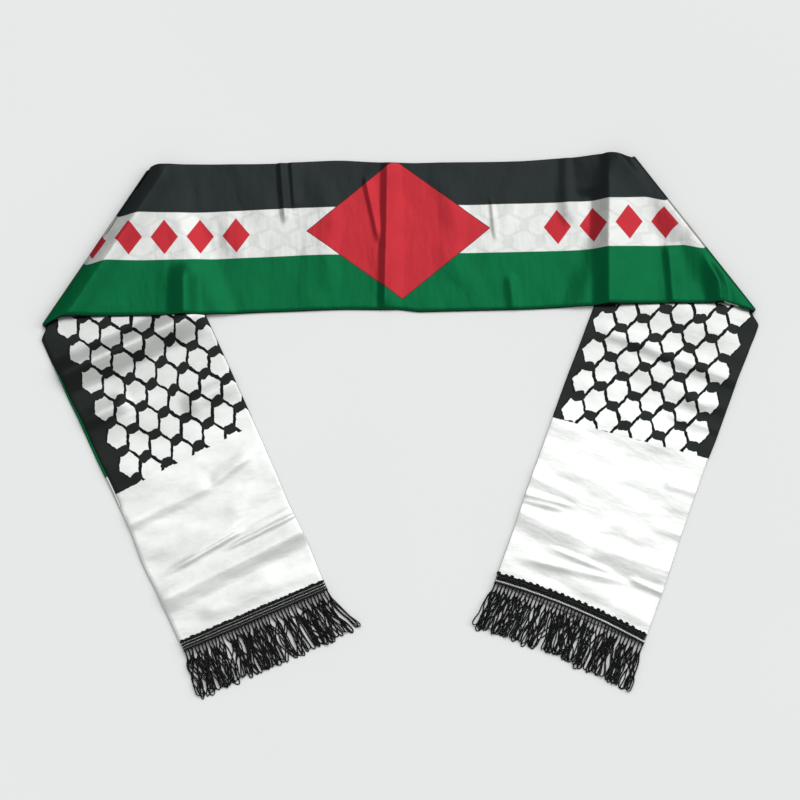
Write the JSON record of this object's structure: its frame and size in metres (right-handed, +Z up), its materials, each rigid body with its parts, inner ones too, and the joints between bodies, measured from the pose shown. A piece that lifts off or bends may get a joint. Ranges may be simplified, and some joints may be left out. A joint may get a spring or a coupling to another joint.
{
  "type": "supporter scarf",
  "caption": "Long flat satin scarf with a striped flag panel, a net-patterned back and looped fringes, laid out with both ends folded under and down.",
  "frame": {"origin": "middle of the band's underside, on the surface that the scarf lies on", "axes": "+Z up from that surface, +X along the band to the right as the flag side is seen, +Y from the tails towards the band's black edge"},
  "size_m": [0.6753, 0.5363, 0.0085],
  "materials": {
    "printed_satin_flag": "printed polyester satin, soft sheen",
    "printed_satin_net": "printed polyester satin, soft sheen",
    "viscose_braid": "lustrous black braid and looped yarn"
  },
  "bodies": {
    "root": {"flag_panel_band": "printed_satin_flag", "net_panel_band": "printed_satin_net", "flag_panel_tail_left": "printed_satin_flag", "net_panel_tail_left": "printed_satin_net", "fringe_left": "viscose_braid", "flag_panel_tail_right": "printed_satin_flag", "net_panel_tail_right": "printed_satin_net", "fringe_right": "viscose_braid"}
  },
  "joints": []
}
